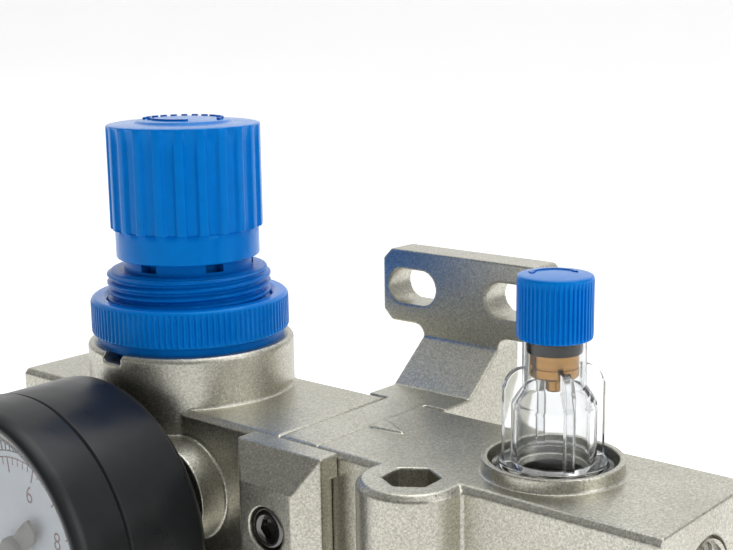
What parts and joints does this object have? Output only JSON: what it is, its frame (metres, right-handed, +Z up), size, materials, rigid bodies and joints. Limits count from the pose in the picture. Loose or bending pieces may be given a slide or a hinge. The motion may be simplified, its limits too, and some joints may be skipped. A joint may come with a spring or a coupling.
{
  "type": "air pressure regulator",
  "caption": "Compressed-air filter regulator with gauge and a sight-dome lubricator, joined by a spacer with a slotted wall bracket.",
  "frame": {"origin": "middle of the two bracket slots, on the wall side of the bracket plate", "axes": "+X along the air flow from inlet to outlet, +Y into the wall, +Z up; the gauge faces -Y"},
  "size_m": [0.1375, 0.083, 0.1679],
  "materials": {
    "cast_paint": "fine metallic paint over a die casting",
    "blue_plastic": "glossy moulded",
    "zinc_steel": "zinc plated",
    "black_steel": "black oxide",
    "spring_steel": "drawn wire",
    "brass": "turned",
    "black_rubber": "matt",
    "black_plastic": "moulded",
    "gauge_black": "satin",
    "white_plastic": "moulded",
    "filter_white": "sintered",
    "dial_white": "satin",
    "pointer_metal": "satin",
    "clear_lens": "clear",
    "clear_plastic": "clear moulded"
  },
  "bodies": {
    "unit": {"regulator_body": "cast_paint", "bonnet": "blue_plastic", "main_spring": "spring_steel", "diaphragm": "black_rubber", "valve_spring": "spring_steel", "valve_cage": "black_plastic", "deflector": "white_plastic", "filter_element": "filter_white", "filter_baffle": "black_plastic", "filter_stud": "zinc_steel", "rear_port_plug": "zinc_steel", "gauge_case": "gauge_black", "gauge_stem": "brass", "gauge_tube": "brass", "gauge_movement": "brass", "gauge_dial": "dial_white", "gauge_bezel": "gauge_black", "gauge_lens": "clear_lens", "wall_bracket": "cast_paint", "front_clamp": "cast_paint", "clamp_screw": "black_steel", "spacer_seals": "black_rubber", "lubricator_body": "cast_paint", "lubricator_bonnet": "black_plastic", "sight_dome": "clear_plastic", "dome_seal": "black_rubber", "drip_block": "brass", "needle_seal": "black_rubber", "fill_plug_seal": "black_rubber", "flow_damper": "black_rubber", "siphon_tube": "clear_plastic", "siphon_filter": "brass"},
    "nut": {"ring_nut": "blue_plastic"},
    "adjuster": {"adjusting_screw": "zinc_steel", "screw_clip": "zinc_steel"},
    "knob": {"regulator_knob": "blue_plastic"},
    "seat": {"spring_seat": "brass"},
    "valve": {"diaphragm_plate": "zinc_steel", "valve_stem": "brass", "valve_poppet": "black_rubber"},
    "pointer": {"gauge_spindle": "zinc_steel", "gauge_pointer": "pointer_metal"},
    "sector": {"gauge_sector": "brass"},
    "filter_cup": {"filter_guard": "cast_paint", "filter_bowl": "clear_plastic", "filter_bowl_seal": "black_rubber"},
    "filter_lock": {"filter_lock_button": "blue_plastic"},
    "filter_drain": {"filter_drain_knob": "black_plastic"},
    "filter_drain_valve": {"filter_drain_stem": "brass"},
    "oil_cap": {"needle_cap": "blue_plastic"},
    "oil_needle": {"needle": "brass"},
    "oil_plug": {"fill_plug": "zinc_steel"},
    "oil_check": {"check_ball": "zinc_steel"},
    "oil_cup": {"lubricator_guard": "cast_paint", "lubricator_bowl": "clear_plastic", "lubricator_bowl_seal": "black_rubber"},
    "oil_lock": {"lubricator_lock_button": "blue_plastic"},
    "oil_drain": {"lubricator_drain_knob": "black_plastic"},
    "oil_drain_valve": {"lubricator_drain_stem": "brass"}
  },
  "joints": [
    {"name": "nut_turn", "type": "hinge", "parent": "unit", "child": "nut", "pos_m": [-0.0395, -0.0366, -0.0164], "axis": [0, 0, 1], "range_deg": [0, 720]},
    {"name": "knob_turn", "type": "hinge", "parent": "unit", "child": "adjuster", "pos_m": [-0.0395, -0.0366, -0.0164], "axis": [0, 0, -1], "range_deg": [0, 1080]},
    {"name": "knob_lock", "type": "slide", "parent": "adjuster", "child": "knob", "axis": [0, 0, 1], "range_m": [-0.002, 0]},
    {"name": "seat_slide", "type": "slide", "parent": "unit", "child": "seat", "axis": [0, 0, -1], "range_m": [0, 0.006], "deforming": ["main_spring"]},
    {"name": "valve_slide", "type": "slide", "parent": "unit", "child": "valve", "axis": [0, 0, -1], "range_m": [0, 0.0012], "stiffness_N_per_m": 800, "springref_m": -0.002, "deforming": ["valve_spring", "diaphragm"]},
    {"name": "pointer_turn", "type": "hinge", "parent": "unit", "child": "pointer", "pos_m": [-0.0395, -0.0766, -0.0367], "axis": [0, 1, 0], "range_deg": [0, 270]},
    {"name": "sector_turn", "type": "hinge", "parent": "unit", "child": "sector", "pos_m": [-0.0395, -0.0696, -0.0467], "axis": [0, 1, 0], "range_deg": [-27, 0]},
    {"name": "filter_cup_twist", "type": "hinge", "parent": "unit", "child": "filter_cup", "pos_m": [-0.0395, -0.0366, -0.0164], "axis": [0, 0, 1], "range_deg": [0, 60]},
    {"name": "filter_lock_press", "type": "slide", "parent": "filter_cup", "child": "filter_lock", "axis": [0, 0, -1], "range_m": [0, 0.0025], "stiffness_N_per_m": 300, "springref_m": -0.002},
    {"name": "filter_drain_turn", "type": "hinge", "parent": "filter_cup", "child": "filter_drain", "pos_m": [-0.0395, -0.0366, -0.0164], "axis": [0, 0, 1], "range_deg": [0, 180]},
    {"name": "filter_drain_lift", "type": "slide", "parent": "filter_cup", "child": "filter_drain_valve", "axis": [0, 0, 1], "range_m": [0, 0.0015]},
    {"name": "oil_cap_turn", "type": "hinge", "parent": "unit", "child": "oil_cap", "pos_m": [0.0395, -0.0366, -0.0164], "axis": [0, 0, -1], "range_deg": [-360, 360]},
    {"name": "oil_needle_slide", "type": "slide", "parent": "unit", "child": "oil_needle", "axis": [0, 0, -1], "range_m": [-0.0005, 0.0005]},
    {"name": "oil_plug_turn", "type": "hinge", "parent": "unit", "child": "oil_plug", "pos_m": [0.0247, -0.0519, -0.0254], "axis": [0, 0, 1], "range_deg": [0, 1080]},
    {"name": "oil_check_lift", "type": "slide", "parent": "unit", "child": "oil_check", "axis": [0, 0, 1], "range_m": [0, 0.001]},
    {"name": "oil_cup_twist", "type": "hinge", "parent": "unit", "child": "oil_cup", "pos_m": [0.0395, -0.0366, -0.0164], "axis": [0, 0, 1], "range_deg": [0, 60]},
    {"name": "oil_lock_press", "type": "slide", "parent": "oil_cup", "child": "oil_lock", "axis": [0, 0, -1], "range_m": [0, 0.0025], "stiffness_N_per_m": 300, "springref_m": -0.002},
    {"name": "oil_drain_turn", "type": "hinge", "parent": "oil_cup", "child": "oil_drain", "pos_m": [0.0395, -0.0366, -0.0164], "axis": [0, 0, 1], "range_deg": [0, 180]},
    {"name": "oil_drain_lift", "type": "slide", "parent": "oil_cup", "child": "oil_drain_valve", "axis": [0, 0, 1], "range_m": [0, 0.0015]}
  ],
  "couplings": [
    {"joint": "knob_turn", "follows": "seat_slide", "rad_per_m": 3141.3},
    {"joint": "sector_turn", "follows": "pointer_turn", "ratio": -0.1},
    {"joint": "filter_drain_turn", "follows": "filter_drain_lift", "rad_per_m": 2094.2},
    {"joint": "oil_drain_turn", "follows": "oil_drain_lift", "rad_per_m": 2094.2},
    {"joint": "oil_cap_turn", "follows": "oil_needle_slide", "rad_per_m": 12565}
  ]
}
